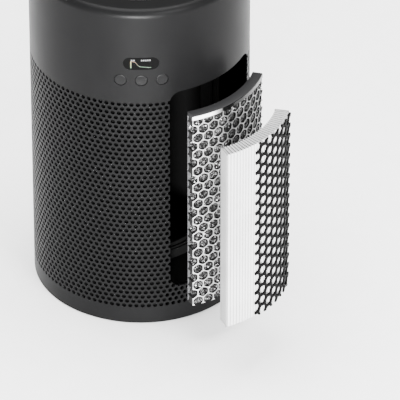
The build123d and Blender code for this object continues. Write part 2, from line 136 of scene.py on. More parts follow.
def add_area(name, place, target, size, power):
    """A soft rectangular light; metres and watts."""
    data = bpy.data.lights.new(name, "AREA")
    data.shape = "RECTANGLE"
    data.size, data.size_y = size
    data.energy = power
    light = bpy.data.objects.new(name, data)
    light.location = place
    light.rotation_euler = (Vector(target) - Vector(place)).to_track_quat("-Z", "Y").to_euler()
    bpy.context.collection.objects.link(light)


def add_stage():
    """A plain pale floor, an even pale surround and three soft lights."""
    half = 6.0
    corners = [(-half, -half, 0), (half, -half, 0), (half, half, 0), (-half, half, 0)]
    floor = mesh_object("studio_floor", corners, [(0, 1, 2, 3)], scale=1.0)
    paper = plain_material("floor_paper", (0.94, 0.94, 0.94), 0.9, grain=400, depth=0.02, variation=0.01,
                           specular=0.1)
    floor.data.materials.append(paper)
    world = bpy.data.worlds.new("studio")
    world.use_nodes = True
    background = world.node_tree.nodes["Background"]
    background.inputs["Color"].default_value = (1.0, 1.0, 1.0, 1.0)
    background.inputs["Strength"].default_value = 1.1
    bpy.context.scene.world = world
    add_area("key", (1.5, -2.3, 2.3), (0, 0, 0.15), (1.2, 1.2), 150)
    add_area("top_soft", (0.0, 0.3, 3.2), (0, 0, 0.2), (2.4, 2.0), 330)
    add_area("front_card", (-0.1, -2.4, 0.2), (0, 0, 0.2), (0.3, 0.4), 430)


# ---- mesh helpers -------------------------------------------------------------------------------
def mesh_object(name, points, faces, scale=MM, sharp=30.0):
    """A mesh with outward normals, smooth except at edges sharper than the angle."""
    mesh = bpy.data.meshes.new(name)
    mesh.from_pydata([tuple(value * scale for value in point) for point in points], [], faces)
    mesh.validate()
    tidy = bmesh.new()
    tidy.from_mesh(mesh)
    bmesh.ops.recalc_face_normals(tidy, faces=tidy.faces)
    tidy.to_mesh(mesh)
    tidy.free()
    smooth(mesh, sharp)
    piece = bpy.data.objects.new(name, mesh)
    bpy.context.collection.objects.link(piece)
    return piece


def smooth(mesh, sharp=30.0):
    mesh.polygons.foreach_set("use_smooth", [True] * len(mesh.polygons))
    mesh.set_sharp_from_angle(angle=math.radians(sharp))


def wrap(centre, radius, angle, z):
    """The point at a radius and angle about a vertical axis through the centre."""
    a = math.radians(angle)
    return (centre[0] + radius * math.sin(a), centre[1] - radius * math.cos(a), z)


def thick_piece(name, faces, centre, r_out, r_in):
    """A closed wall made from flat faces in (angle, z), wrapped round the centre between two radii."""
    numbers = {}
    flat = []

    def number(point):
        key = (round(point[0], 4), round(point[1], 3))
        if key not in numbers:
            numbers[key] = len(flat)
            flat.append(key)
        return numbers[key]

    outer = [tuple(number(point) for point in face) for face in faces]
    count = len(flat)
    directed = set()
    for face in outer:
        directed.update(zip(face, face[1:] + face[:1]))
    walls = [(a, b, b + count, a + count) for a, b in directed if (b, a) not in directed]
    inner = [tuple(i + count for i in reversed(face)) for face in outer]
    points = [wrap(centre, r_out, *point) for point in flat] + [wrap(centre, r_in, *point) for point in flat]
    return mesh_object(name, points, outer + inner + walls)


def baked_copy(piece):
    """Replaces the piece's mesh by its evaluated one, so no modifier is left on it."""
    depsgraph = bpy.context.evaluated_depsgraph_get()
    mesh = bpy.data.meshes.new_from_object(piece.evaluated_get(depsgraph))
    piece.modifiers.clear()
    piece.data = mesh
    smooth(mesh)
    return piece


def cut(piece, *tools, operation="DIFFERENCE"):
    """Cuts the tools out of the piece, or keeps what lies inside them."""
    for tool in tools:
        modifier = piece.modifiers.new("cut", "BOOLEAN")
        modifier.operation = operation
        modifier.solver = "EXACT"
        modifier.object = tool
    baked_copy(piece)


def remove(*pieces):
    for piece in pieces:
        bpy.data.objects.remove(piece)


def rounded_outline(half_w, half_h, corner, steps=8):
    """A rectangle with round corners, anticlockwise."""
    outline = []
    for cx, cy, start in ((1, 1, 0), (-1, 1, 90), (-1, -1, 180), (1, -1, 270)):
        for k in range(steps + 1):
            a = math.radians(start + 90 * k / steps)
            x = cx * (half_w - corner) + corner * math.cos(a)
            y = cy * (half_h - corner) + corner * math.sin(a)
            outline.append((x, y))
    return outline


def prism(name, outline, to_world, near, far):
    """A closed prism between two distances along its own axis."""
    count = len(outline)
    points = [to_world(u, v, near) for u, v in outline] + [to_world(u, v, far) for u, v in outline]
    faces = [tuple(range(count)), tuple(range(2 * count - 1, count - 1, -1))]
    faces += [(k, (k + 1) % count, count + (k + 1) % count, count + k) for k in range(count)]
    return mesh_object(name, points, faces)


def radial_frame(angle, z):
    """Maps (across, up, out) at an angle on the drum to the model's own coordinates."""
    a = math.radians(angle)

    def to_world(u, v, r):
        return (r * math.sin(a) + u * math.cos(a), -r * math.cos(a) + u * math.sin(a), z + v)

    return to_world


def soften(piece, width, segments=2):
    """Rounds the sharp edges."""
    bevel = piece.modifiers.new("bevel", "BEVEL")
    bevel.width = width * MM
    bevel.segments = segments
    bevel.limit_method = "ANGLE"
    bevel.angle_limit = math.radians(40)
    return baked_copy(piece)


def arc_solid(name, centre, inner, outer, right, z0, z1, steps):
    """Part of a ring: inner and outer are each a radius and the angle where it starts on the left."""
    n = steps + 1
    points = []
    for z in (z0, z1):
        for radius, left in (inner, outer):
            points += [wrap(centre, radius, left + (right - left) * k / steps, z) for k in range(n)]
    faces = [(0, n, 3 * n, 2 * n), (steps, 2 * n + steps, 3 * n + steps, n + steps)]
    for k in range(steps):
        faces += [(k, k + 1, n + k + 1, n + k), (2 * n + k, 3 * n + k, 3 * n + k + 1, 2 * n + k + 1)]
        faces += [(k, 2 * n + k, 2 * n + k + 1, k + 1), (n + k, n + k + 1, 3 * n + k + 1, 3 * n + k)]
    return mesh_object(name, points, faces)


def polygon_points(count, first, across, up):
    """Points evenly round a circle or ellipse, the first at the given angle."""
    angles = [math.radians(first + 360 / count * k) for k in range(count)]
    return [(across * math.cos(a), up * math.sin(a)) for a in angles]


def with_middles(corners):
    """The outline with a point added in the middle of every side."""
    rim = []
    for here, after in zip(corners, corners[1:] + corners[:1]):
        rim += [here, ((here[0] + after[0]) / 2, (here[1] + after[1]) / 2)]
    return rim


def shrunk(rim, shrink, corner_shrink):
    """A smaller outline inside the rim, with its corners pulled in a little further."""
    factors = (shrink * corner_shrink, shrink)
    return [(x * factors[k % 2], y * factors[k % 2]) for k, (x, y) in enumerate(rim)]


def ring_faces(angle, z, rim, hole, per_degree=1.0):
    """Quads between an outline and the hole in it, both about the point (angle, z)."""
    outer = [(angle + x / per_degree, z + y) for x, y in rim]
    inner = [(angle + x / per_degree, z + y) for x, y in hole]
    count = len(rim)
    return [(inner[k], outer[k], outer[(k + 1) % count], inner[(k + 1) % count]) for k in range(count)]


# ---- materials: tools ---------------------------------------------------------------------------
BUMP_DEPTH = 0.0002                     # metres


def new_material(name):
    material = bpy.data.materials.new(name)
    material.use_nodes = True
    nodes = material.node_tree.nodes
    return material, nodes, material.node_tree.links, nodes["Principled BSDF"]


def object_noise(nodes, links, scale, detail=2.0, stretch=(1, 1, 1)):
    """Noise in the object's own coordinates; scale is in features per metre."""
    coordinates = nodes.new("ShaderNodeTexCoord")
    mapping = nodes.new("ShaderNodeMapping")
    mapping.inputs["Scale"].default_value = stretch
    noise = nodes.new("ShaderNodeTexNoise")
    noise.inputs["Scale"].default_value = scale
    noise.inputs["Detail"].default_value = detail
    links.new(coordinates.outputs["Object"], mapping.inputs["Vector"])
    links.new(mapping.outputs["Vector"], noise.inputs["Vector"])
    return noise


def add_bump(nodes, links, shader, height, strength, distance):
    bump = nodes.new("ShaderNodeBump")
    bump.inputs["Strength"].default_value = strength
    bump.inputs["Distance"].default_value = distance
    links.new(height, bump.inputs["Height"])
    links.new(bump.outputs["Normal"], shader.inputs["Normal"])


def add_tint(nodes, links, shader, factor, dark, light, low=0.35, high=0.65):
    """Base colour that runs from dark to light as the factor goes from low to high."""
    ramp = nodes.new("ShaderNodeValToRGB")
    ramp.color_ramp.elements[0].position = low
    ramp.color_ramp.elements[1].position = high
    ramp.color_ramp.elements[0].color = (*dark, 1.0)
    ramp.color_ramp.elements[1].color = (*light, 1.0)
    links.new(factor, ramp.inputs["Fac"])
    links.new(ramp.outputs["Color"], shader.inputs["Base Color"])


def plain_material(name, colour, roughness, grain=2500, depth=0.15, variation=0.06, metallic=0.0,
                   specular=0.5, stretch=(1, 1, 1)):
    """Moulded or coated surface: fine grain in the bump, slow drift in the colour."""
    material, nodes, links, shader = new_material(name)
    drift = object_noise(nodes, links, 35, 3.0)
    dark = tuple(channel * (1 - variation) for channel in colour)
    light = tuple(min(1.0, channel * (1 + variation)) for channel in colour)
    add_tint(nodes, links, shader, drift.outputs["Fac"], dark, light)
    fine = object_noise(nodes, links, grain, 2.0, stretch)
    add_bump(nodes, links, shader, fine.outputs["Fac"], depth, BUMP_DEPTH)
    rough = nodes.new("ShaderNodeMapRange")
    rough.inputs["To Min"].default_value = max(0.02, roughness - 0.04)
    rough.inputs["To Max"].default_value = min(1.0, roughness + 0.04)
    links.new(drift.outputs["Fac"], rough.inputs["Value"])
    links.new(rough.outputs["Result"], shader.inputs["Roughness"])
    shader.inputs["Metallic"].default_value = metallic
    shader.inputs["Specular IOR Level"].default_value = specular
    return material


# ---- perforated shell ---------------------------------------------------------------------------
PLAIN_ABOVE = (274.0, 284.0, 294.0, 304.0, 314.0, 324.0, 334.0, SHELL_Z1)    # rings over the holes
PLAIN_BELOW = (16.0, 8.0, SHELL_Z0)
SECTORS = {"shell_front": (-9, 3), "shell_window": (3, 26), "shell_right": (26, 46), "shell_back": (46, 64),
           "shell_back_left": (64, 82), "shell_left": (82, 101)}    # first and last hole column of each piece


def hole_place(column, row):
    return HOLE_PHASE + (column + 0.5 * (row % 2)) * HOLE_STEP, FIRST_ROW_Z + row * ROW_STEP


def cell_faces(column, row):
    """The hexagon round one air hole, as twelve quads between its outline and the hole."""
    side = ROW_STEP * 2 / 3
    rim = with_middles(polygon_points(6, 30, side, side))
    hole = polygon_points(12, 30, HOLE_R, HOLE_R)
    return ring_faces(*hole_place(column, row), rim, hole, math.radians(1) * BODY_R)


def edge_points(column, row, top):
    """The zigzag along the top or bottom of one cell, left to right."""
    angle, z = hole_place(column, row)
    side = ROW_STEP * 2 / 3
    sign = 1 if top else -1
    shape = [(-0.5, 0.5), (-0.25, 0.75), (0.0, 1.0), (0.25, 0.75), (0.5, 0.5)]
    return [(angle + x * HOLE_STEP, z + sign * side * y) for x, y in shape]


def band_faces(columns, row, top, levels):
    """Plain wall between the zigzag of a hole row and straight rings at the given heights."""
    faces = []
    for column in columns:
        lower = edge_points(column, row, top)
        for level in levels:
            upper = [(angle, level) for angle, _ in lower]
            for k in range(4):
                quad = (lower[k], lower[k + 1], upper[k + 1], upper[k])
                faces.append(quad if top else tuple(reversed(quad)))
            lower = upper
    return faces


def shell_sector(name, first, last):
    """The wall between two hole columns, from top to bottom."""
    columns = range(first, last)
    faces = []
    for row in range(HOLE_ROWS):
        for column in columns:
            faces += cell_faces(column, row)
    faces += band_faces(columns, HOLE_ROWS - 1, True, PLAIN_ABOVE)
    faces += band_faces(columns, 0, False, PLAIN_BELOW)
    return thick_piece(name, faces, AXIS, BODY_R, INNER_R)


def window_tool():
    """A straight prism along the cartridges' direction, with the window's rounded outline."""
    a = math.radians(SLIDE_ANGLE)
    p0 = BODY_R * math.sin(math.radians(WINDOW_LEFT - SLIDE_ANGLE))
    p1 = BODY_R * math.sin(math.radians(WINDOW_RIGHT - SLIDE_ANGLE))
    mid_p, mid_z = (p0 + p1) / 2, (WINDOW_Z0 + WINDOW_Z1) / 2
    outline = rounded_outline((p1 - p0) / 2, (WINDOW_Z1 - WINDOW_Z0) / 2, WINDOW_CORNER_R)

    def to_world(u, v, out):
        p = mid_p + u
        return (p * math.cos(a) + out * math.sin(a), p * math.sin(a) - out * math.cos(a), mid_z + v)

    return prism("window_tool", outline, to_world, 20, 200)


def add_shell(material):
    """The perforated wall in six pieces, with its window, display, button and inlet openings."""
    pieces = {name: shell_sector(name, first, last) for name, (first, last) in SECTORS.items()}
    window = window_tool()
    cut(pieces["shell_window"], window)
    remove(window)
    tools = []
    half_h = DISPLAY_H / 2 + DISPLAY_GAP
    pill = rounded_outline(DISPLAY_CUT_HALF_W, half_h, half_h, steps=10)
    display_frame = radial_frame(DISPLAY_ANGLE, DISPLAY_Z)
    tools.append(prism("display_tool", pill, display_frame, CUT_FROM_R, CUT_TO_R))
    gap_r = BUTTON_R + BUTTON_GAP
    ring = rounded_outline(gap_r, gap_r, gap_r, steps=10)
    for name, angle in BUTTON_ANGLES.items():
        button_frame = radial_frame(angle, BUTTON_Z)
        tools.append(prism("button_tool_" + name, ring, button_frame, CUT_FROM_R, CUT_TO_R))
    for name in ("shell_front", "shell_window"):
        cut(pieces[name], *tools)
    remove(*tools)
    socket = rounded_outline(INLET_HALF_W, INLET_HALF_H, INLET_CORNER_R)
    inlet = prism("inlet_tool", socket, radial_frame(180, INLET_Z), CUT_FROM_R, CUT_TO_R)
    cut(pieces["shell_back"], inlet)
    remove(inlet)
    for piece in pieces.values():
        piece.data.materials.clear()
        piece.data.materials.append(material)
        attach(piece, "body")
        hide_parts("outer_shell")


# ---- display and buttons ------------------------------------------------------------------------
def on_shell(across, z, lift=0.0):
    """A point on the front of the shell, the given arc length to the right of the display's middle."""
    return wrap(AXIS, BODY_R + lift, DISPLAY_ANGLE + math.degrees(across / BODY_R), z)


def shell_patch(name, outline_rows, lift, thickness):
    """A thin closed plate that lies on the shell: rows of points, left to right, bottom to top."""
    rows, columns = len(outline_rows), len(outline_rows[0])
    top = [on_shell(x, z, lift) for row in outline_rows for x, z in row]
    back = [on_shell(x, z, lift - thickness) for row in outline_rows for x, z in row]
    faces = []
    count = rows * columns
    for i in range(rows - 1):
        for j in range(columns - 1):
            a = i * columns + j
            faces += [(a, a + 1, a + columns + 1, a + columns)]
            faces += [(count + a, count + a + columns, count + a + columns + 1, count + a + 1)]
    rim = list(range(columns)) + [i * columns + columns - 1 for i in range(1, rows)]
    rim += [(rows - 1) * columns + j for j in range(columns - 2, -1, -1)]
    rim += [i * columns for i in range(rows - 2, 0, -1)]
    for k, a in enumerate(rim):
        b = rim[(k + 1) % len(rim)]
        faces.append((a, count + a, count + b, b))
    return mesh_object(name, top + back, faces)


def glow_material(name, low_colour, high_colour, z_low, z_high, strength=1.3):
    """A lit segment whose colour changes with height."""
    material, nodes, links, shader = new_material(name)
    coordinates = nodes.new("ShaderNodeTexCoord")
    split = nodes.new("ShaderNodeSeparateXYZ")
    span = nodes.new("ShaderNodeMapRange")
    span.inputs["From Min"].default_value = z_low * MM
    span.inputs["From Max"].default_value = z_high * MM
    ramp = nodes.new("ShaderNodeValToRGB")
    ramp.color_ramp.elements[0].color = (*low_colour, 1)
    ramp.color_ramp.elements[1].color = (*high_colour, 1)
    links.new(coordinates.outputs["Object"], split.inputs["Vector"])
    links.new(split.outputs["Z"], span.inputs["Value"])
    links.new(span.outputs["Result"], ramp.inputs["Fac"])
    links.new(ramp.outputs["Color"], shader.inputs["Emission Color"])
    shader.inputs["Emission Strength"].default_value = strength
    shader.inputs["Base Color"].default_value = (0.01, 0.01, 0.01, 1)
    return material


GLOW_LIFT, GLOW_T = 0.06, 0.1
BAR_SIDES = (-10.7, -9.6)
BAR_LOW, BAR_HIGH = DISPLAY_Z - 5.2, DISPLAY_Z + 2.6
BAR_STEPS = 6
CURVE_LEFT, CURVE_SPAN, CURVE_STEPS = -9.6, 19.4, 40
CURVE_HALF_T = 0.3
MARK_ROWS = (DISPLAY_Z + 3.1, DISPLAY_Z + 4.6)
MARKS = ((-9.2, 1.5), (-7.0, 1.5), (0.6, 1.4), (2.6, 1.4), (4.6, 1.4), (6.6, 1.4), (8.6, 1.4))    # x, width
GREEN, YELLOW, ORANGE = (0.01, 0.32, 0.05), (0.8, 0.6, 0.06), (0.85, 0.28, 0.03)


def level_bar():
    heights = [BAR_LOW + (BAR_HIGH - BAR_LOW) * k / BAR_STEPS for k in range(BAR_STEPS + 1)]
    rows = [[(x, z) for x in BAR_SIDES] for z in heights]
    bar = shell_patch("display_level_bar", rows, GLOW_LIFT, GLOW_T)
    bar.data.materials.append(glow_material("glow_bar", GREEN, YELLOW, BAR_LOW, BAR_HIGH))
    return bar


def falling_curve():
    """Steep at first, then nearly flat."""
    lower, upper = [], []
    for k in range(CURVE_STEPS + 1):
        x = CURVE_LEFT + CURVE_SPAN * k / CURVE_STEPS
        z = DISPLAY_Z - 3.6 - 0.11 * x + 5.2 / (1 + math.exp((x + 4.0) / 0.9))
        lower.append((x, z - CURVE_HALF_T))
        upper.append((x, z + CURVE_HALF_T))
    curve = shell_patch("display_curve", [lower, upper], GLOW_LIFT, GLOW_T)
    glow = glow_material("glow_curve", GREEN, ORANGE, DISPLAY_Z - 3.4, DISPLAY_Z + 2.6, 0.8)
    curve.data.materials.append(glow)
    return curve


def plain_marks():
    white = glow_material("glow_marks", (0.75, 0.78, 0.8), (0.8, 0.82, 0.84), DISPLAY_Z, DISPLAY_Z + 6, 0.9)
    pieces = []
    for k, (x, width) in enumerate(MARKS):
        rows = [[(x - width / 2, z), (x + width / 2, z)] for z in MARK_ROWS]
        mark = shell_patch(f"display_mark_{k + 1}", rows, GLOW_LIFT, GLOW_T)
        mark.data.materials.append(white)
        pieces.append(mark)
    return pieces


def add_display():
    """A small air-quality chart: a level bar, a falling curve and a row of plain marks."""
    for piece in [level_bar(), falling_curve()] + plain_marks():
        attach(piece, "body")


CAP_PROFILE = ((0.0, -0.22), (2.0, -0.2), (3.8, -0.08), (5.0, 0.0), (BUTTON_R - 0.35, -0.04),
               (BUTTON_R - 0.09, -0.2), (BUTTON_R, -0.5), (BUTTON_R, -3.4))    # radius, height over the shell
CAP_POINTS = 48


def add_button(side, material):
    """A flush round cap that follows the shell, slightly dished, with a soft edge."""
    to_world = radial_frame(BUTTON_ANGLES[side], BUTTON_Z)
    around = CAP_POINTS
    points = []
    for radius, lift in CAP_PROFILE[1:]:
        for k in range(around):
            a = 2 * math.pi * k / around
            u, v = radius * math.cos(a), radius * math.sin(a)
            points.append(to_world(u, v, math.sqrt(BODY_R ** 2 - u ** 2) + lift))
    centre = len(points)
    points.append(to_world(0, 0, BODY_R + CAP_PROFILE[0][1]))
    faces = [(k, (k + 1) % around, centre) for k in range(around)]
    last_ring = len(CAP_PROFILE) - 2
    for ring in range(last_ring):
        low, high = ring * around, (ring + 1) * around
        faces += [(low + k, high + k, high + (k + 1) % around, low + (k + 1) % around) for k in range(around)]
    faces.append(tuple(last_ring * around + k for k in range(around)))
    cap = mesh_object("cap_" + side, points, faces)
    cap.data.materials.append(material)
    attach(cap, side + "_button")
    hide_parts("button_" + side)


# ---- carbon cartridge ---------------------------------------------------------------------------
CELL_ANGLE = 5.964
CELL_FIRST_ANGLE = 22.04
CELL_ROW = CELL_PITCH * math.sqrt(3) / 2
CELL_TOP_Z = CARBON_CORE_Z1 - 2.0
CELL_PER_DEGREE = CELL_PITCH / CELL_ANGLE
CELL_ROWS = 24
CELL_COLUMNS = range(-2, 11)
CELL_CORNER_SHRINK = 0.93
GRAIN_LAYERS = (107.4, 108.5)                            # under the open side
GRAIN_LAYERS_DEEP = (101.8, 103.6, 105.4, 107.0, 108.5)    # where the left end is cut open
GRAINS_PER_LAYER = 15


def left_limit(radius):
    """The angle of the slanting left end at a radius."""
    share = (radius - CARBON_R_IN) / (CARBON_R_OUT - CARBON_R_IN)
    return CARBON_LEFT_IN + (CARBON_LEFT_OUT - CARBON_LEFT_IN) * share


def carbon_solid(name, r_in, r_out, z0, z1):
    """The cartridge's form between two radii: an arc with a slanting left end."""
    inner, outer = (r_in, left_limit(r_in)), (r_out, left_limit(r_out))
    return arc_solid(name, CARBON_CENTRE, inner, outer, CARBON_RIGHT, z0, z1, 48)


def carbon_cells():
    """The angle and height of every cell's middle."""
    for row in range(CELL_ROWS):
        for column in CELL_COLUMNS:
            yield CELL_FIRST_ANGLE + CELL_ANGLE * (column + 0.5 * (row % 2)), CELL_TOP_Z - row * CELL_ROW


def add_honeycomb(material, painted_shade_material):
    """Cell walls with pale front edges; the faces inside the cells and at the cut ends are painted dark as
    shade.
    """
    corner_r = CELL_PITCH / math.sqrt(3)
    rim = with_middles(polygon_points(6, 30, corner_r, corner_r))
    hole = shrunk(rim, (CELL_PITCH - CELL_WALL) / CELL_PITCH, CELL_CORNER_SHRINK)
    faces = []
    for angle, z in carbon_cells():
        faces += ring_faces(angle, z, rim, hole, CELL_PER_DEGREE)
    comb = thick_piece("honeycomb_walls", faces, CARBON_CENTRE, CARBON_R_OUT + 3, CARBON_R_IN - 3)
    form = carbon_solid("carbon_form", CARBON_R_IN + 0.6, CARBON_R_OUT, CARBON_Z0, CARBON_CORE_Z1)
    cut(comb, form, operation="INTERSECT")
    remove(form)
    comb.data.materials.clear()
    comb.data.materials.append(material)
    comb.data.materials.append(painted_shade_material)
    middle = Vector((*CARBON_CENTRE, 0)) * MM
    # painted shade: every face that does not look outwards gets the dark second material
    for polygon in comb.data.polygons:
        out = polygon.center - middle
        out.z = 0
        polygon.material_index = 0 if polygon.normal.dot(out.normalized()) > 0.6 else 1
    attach(comb, "carbon_filter")
    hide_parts("carbon_honeycomb")


def grain_template():
    """The corners and faces of an icosahedron, which each grain distorts."""
    golden = (1 + math.sqrt(5)) / 2
    corners = []
    for a in (-1, 1):
        for b in (-golden, golden):
            corners += [(0, a, b), (a, b, 0), (b, 0, a)]
    corners = [Vector(corner).normalized() for corner in corners]
    hull = bmesh.new()
    for corner in corners:
        hull.verts.new(corner)
    bmesh.ops.convex_hull(hull, input=hull.verts)
    hull.verts.index_update()
    faces = [tuple(vert.index for vert in face.verts) for face in hull.faces]
    corners = [vert.co.copy() for vert in hull.verts]
    hull.free()
    return corners, faces


def add_grains(material):
    """Broken carbon in every cell: two layers under the open side, and full depth at the cut left end."""
    rng = random.Random(GRAIN_SEED)
    corners, template = grain_template()
    points, faces = [], []
    room = (CELL_PITCH - CELL_WALL) / 2

    def add_grain(angle, z, radius, size):
        base = len(points)
        middle = Vector(wrap(CARBON_CENTRE, radius, angle, z))
        stretch = Vector([rng.uniform(0.65, 1.25) for _ in range(3)])
        turn_angle = rng.uniform(0, 6.28)
        turn = Matrix.Rotation(turn_angle, 3, Vector([rng.gauss(0, 1) for _ in range(3)]))
        for corner in corners:
            shaped = Vector([corner[i] * stretch[i] for i in range(3)]) * size * rng.uniform(0.82, 1.1)
            points.append(tuple(middle + turn @ shaped))
        faces.extend(tuple(base + i for i in face) for face in template)

    for angle, z in carbon_cells():
        deep = angle < CARBON_LEFT_OUT + 4.5
        for layer in GRAIN_LAYERS_DEEP if deep else GRAIN_LAYERS:
            for k in range(GRAINS_PER_LAYER):
                reach = (room - 0.9) * math.sqrt((k + 0.5) / GRAINS_PER_LAYER)
                turn = 2.4 * k + rng.uniform(-0.3, 0.3)
                spot = angle + reach * math.cos(turn) / CELL_PER_DEGREE
                height = z + reach * 1.06 * math.sin(turn)
                size = rng.uniform(0.95, 1.5)
                radius = min(layer + rng.uniform(-0.5, 0.9), CARBON_R_OUT - 0.3 - size)
                margin = (size + 0.1) / CELL_PER_DEGREE
                in_height = CARBON_Z0 + size + 0.2 < height < CARBON_CORE_Z1 - size - 0.1
                if in_height and left_limit(radius) + margin < spot < CARBON_RIGHT - margin:
                    add_grain(spot, height, radius, size)
    grains = mesh_object("carbon_grains", points, faces, sharp=20.0)
    grains.data.materials.append(material)
    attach(grains, "carbon_filter")


def add_carbon_cap(top_material, band_painted_reflection_material):
    """A strip along the top, with a polished band set into its front."""
    strip = soften(carbon_solid("cap_strip", CARBON_R_IN, CARBON_R_OUT - 0.5, CARBON_CORE_Z1, CARBON_Z1), 0.3)
    strip.data.materials.append(top_material)
    edge = carbon_solid("cap_band", CARBON_R_OUT - 0.6, CARBON_R_OUT, CARBON_CORE_Z1 - 0.2, CARBON_Z1 - 0.9)
    edge.data.materials.append(band_painted_reflection_material)
    for piece in (strip, edge):
        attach(piece, "carbon_filter")
        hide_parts("carbon_cap")


# ---- pleated cartridge --------------------------------------------------------------------------
PLEATS = 28
SHEET_T = 0.72
WIDE_FOLD = 0.68                        # the share of a pleat's pitch between the legs of a front fold
BOARD_T = 1.2
PLEAT_MARGIN = 0.9                      # degrees left free at each end for the boards
PLEAT_SEED, GRAIN_SEED = 3, 7


def offset_line(points, distance):
    """The polyline moved sideways by the distance, with mitred corners."""
    moved = []
    for k, (x, y) in enumerate(points):
        before = points[max(k - 1, 0)]
        after = points[min(k + 1, len(points) - 1)]
        direction = Vector((after[0] - before[0], after[1] - before[1])).normalized()
        moved.append((x - direction.y * distance, y + direction.x * distance))
    return moved


def pleat_line():
    """The middle of the folded sheet seen from above: radial legs joined by round folds."""
    rng = random.Random(PLEAT_SEED)
    pitch = (PLEAT_RIGHT - PLEAT_LEFT - 2 * PLEAT_MARGIN) / PLEATS
    line = []
    for leg in range(2 * PLEATS):
        outwards = leg % 2 == 0
        angle = PLEAT_LEFT + PLEAT_MARGIN + (leg // 2 + 0.16 + (0.0 if outwards else WIDE_FOLD)) * pitch
        end_r = PLEAT_R_OUT if outwards else PLEAT_R_IN
        fold_r = math.radians(pitch * (WIDE_FOLD if outwards else 1 - WIDE_FOLD)) * end_r / 2
        inset = SHEET_T / 2 + fold_r + rng.uniform(0.0, 0.25)
        centre_r = end_r - inset if outwards else end_r + inset
        line.append(wrap(PLEAT_CENTRE, PLEAT_R_IN + 3 if outwards else PLEAT_R_OUT - 3, angle, 0)[:2])
        if leg == 2 * PLEATS - 1:
            line.append(wrap(PLEAT_CENTRE, centre_r, angle, 0)[:2])
            break
        for k in range(7):
            a = math.pi * k / 6
            along = math.sin(a) * fold_r * (1 if outwards else -1)
            sideways = math.degrees((1 - math.cos(a)) * fold_r / end_r)
            line.append(wrap(PLEAT_CENTRE, centre_r + along, angle + sideways, 0)[:2])
    return line


def add_pleats(material):
    """The folded sheet, one closed piece."""
    line = pleat_line()
    left, right = offset_line(line, SHEET_T / 2), offset_line(line, -SHEET_T / 2)
    outline = left + list(reversed(right))
    count, half = len(outline), len(line)
    levels = [PLEAT_Z0 + 0.3, PLEAT_Z1 - 0.4]
    points = [(x, y, z) for z in levels for x, y in outline]
    faces = [(k, (k + 1) % count, count + (k + 1) % count, count + k) for k in range(count)]
    for base, flip in ((0, True), (count, False)):
        for k in range(half - 1):
            quad = (base + k, base + k + 1, base + count - 2 - k, base + count - 1 - k)
            faces.append(tuple(reversed(quad)) if flip else quad)
    pleats = mesh_object("pleat_pack", points, faces, sharp=40.0)
    pleats.data.materials.append(material)
    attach(pleats, "hepa_filter")
    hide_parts("hepa_pleats")


def add_end_boards(material):
    """A flat board at each end of the pleats."""
    board = math.degrees(BOARD_T / PLEAT_R_IN)
    for side, left in (("left", PLEAT_LEFT), ("right", PLEAT_RIGHT - board)):
        inner, outer = (PLEAT_R_IN, left), (PLEAT_R_OUT, left)
        piece = arc_solid("board_" + side, PLEAT_CENTRE, inner, outer, left + board, PLEAT_Z0, PLEAT_Z1, 1)
        soften(piece, 0.35, 3)
        piece.data.materials.append(material)
        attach(piece, "hepa_filter")
        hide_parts("hepa_end_board_" + side)


NET_COLUMNS = range(-2, 8)
NET_ROWS = range(-1, 19)
NET_CORNER_SHRINK = 0.95


def add_net(material):
    """Coarse hexagonal net, cut through its cells along every edge."""
    rim = with_middles(polygon_points(6, 0, NET_COLUMN_STEP / 1.5, NET_PITCH / math.sqrt(3)))
    hole = shrunk(rim, (NET_PITCH - NET_STRAND) / NET_PITCH, NET_CORNER_SHRINK)
    faces = []
    for column in NET_COLUMNS:
        for row in NET_ROWS:
            angle = NET_FIRST_COLUMN + column * NET_COLUMN_STEP
            z = NET_FIRST_Z + NET_PITCH * (0.5 * (column % 2) - row)
            faces += ring_faces(angle, z, rim, hole)
    net = thick_piece("net_strands", faces, PLEAT_CENTRE, NET_R_OUT, NET_R_IN)
    inner, outer = (NET_R_IN - 3, NET_LEFT), (NET_R_OUT + 3, NET_LEFT)
    form = arc_solid("net_form", PLEAT_CENTRE, inner, outer, PLEAT_RIGHT, PLEAT_Z0, PLEAT_Z1, 24)
    cut(net, form, operation="INTERSECT")
    remove(form)
    soften(net, 0.4, 2)
    net.data.materials.clear()
    net.data.materials.append(material)
    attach(net, "hepa_filter")
    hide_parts("prefilter_net")


# ---- materials of the pieces --------------------------------------------------------------------
def ramp_along_arc(nodes, links, shader, stops):
    """Base colour that changes from the carbon cartridge's left end to its right end."""
    coordinates = nodes.new("ShaderNodeTexCoord")
    split = nodes.new("ShaderNodeSeparateXYZ")
    across = nodes.new("ShaderNodeMapRange")
    across.inputs["From Min"].default_value = wrap(CARBON_CENTRE, CARBON_R_OUT, CARBON_LEFT_OUT, 0)[0] * MM
    across.inputs["From Max"].default_value = wrap(CARBON_CENTRE, CARBON_R_OUT, CARBON_RIGHT, 0)[0] * MM
    ramp = nodes.new("ShaderNodeValToRGB")
    elements = ramp.color_ramp.elements
    elements[0].position, elements[1].position = stops[0][0], stops[-1][0]
    elements[0].color, elements[1].color = (*stops[0][1], 1), (*stops[-1][1], 1)
    for position, colour in stops[1:-1]:
        elements.new(position).color = (*colour, 1)
    links.new(coordinates.outputs["Object"], split.inputs["Vector"])
    links.new(split.outputs["X"], across.inputs["Value"])
    links.new(across.outputs["Result"], ramp.inputs["Fac"])
    links.new(ramp.outputs["Color"], shader.inputs["Base Color"])


